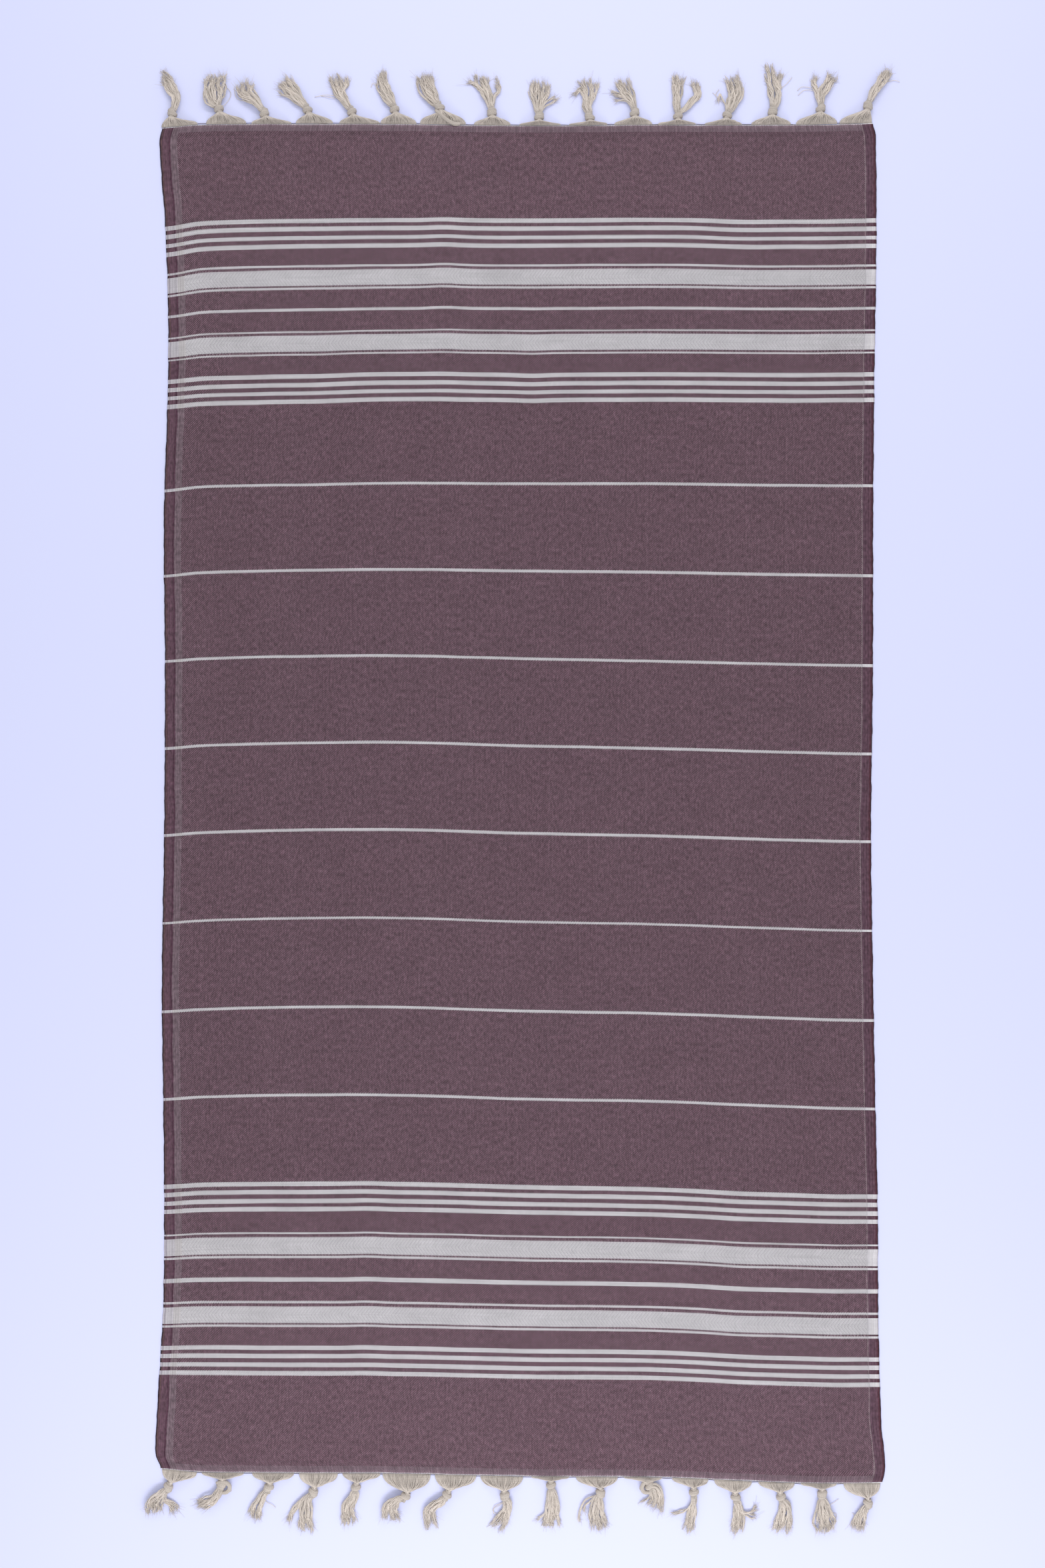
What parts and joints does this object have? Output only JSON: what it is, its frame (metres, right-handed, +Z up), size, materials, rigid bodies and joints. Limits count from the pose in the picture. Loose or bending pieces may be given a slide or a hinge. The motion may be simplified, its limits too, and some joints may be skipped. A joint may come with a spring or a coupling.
{
  "type": "fouta towel",
  "caption": "Flat woven cotton towel laid out on a surface: maroon twill with pale weft stripes and herringbone bands, and knotted warp tassels along both ends.",
  "frame": {"origin": "under the middle of the whole towel, tassels included, on the surface that it lies on", "axes": "+Y along the warp, towards the upper end of the picture; +X across, towards the right selvedge; +Z up, out of the face that shows"},
  "size_m": [0.997, 1.966, 0.0091],
  "materials": {
    "cloth": "matt maroon and pale grey cotton twill with off-white weft stripes",
    "tassel": "matt natural cotton yarn, softly twisted"
  },
  "bodies": {
    "root": {"cloth": "cloth", "tassel_top_01": "tassel", "tassel_top_02": "tassel", "tassel_top_03": "tassel", "tassel_top_04": "tassel", "tassel_top_05": "tassel", "tassel_top_06": "tassel", "tassel_top_07": "tassel", "tassel_top_08": "tassel", "tassel_top_09": "tassel", "tassel_top_10": "tassel", "tassel_top_11": "tassel", "tassel_top_12": "tassel", "tassel_top_13": "tassel", "tassel_top_14": "tassel", "tassel_top_15": "tassel", "tassel_top_16": "tassel", "tassel_bottom_01": "tassel", "tassel_bottom_02": "tassel", "tassel_bottom_03": "tassel", "tassel_bottom_04": "tassel", "tassel_bottom_05": "tassel", "tassel_bottom_06": "tassel", "tassel_bottom_07": "tassel", "tassel_bottom_08": "tassel", "tassel_bottom_09": "tassel", "tassel_bottom_10": "tassel", "tassel_bottom_11": "tassel", "tassel_bottom_12": "tassel", "tassel_bottom_13": "tassel", "tassel_bottom_14": "tassel", "tassel_bottom_15": "tassel", "tassel_bottom_16": "tassel"}
  },
  "joints": []
}
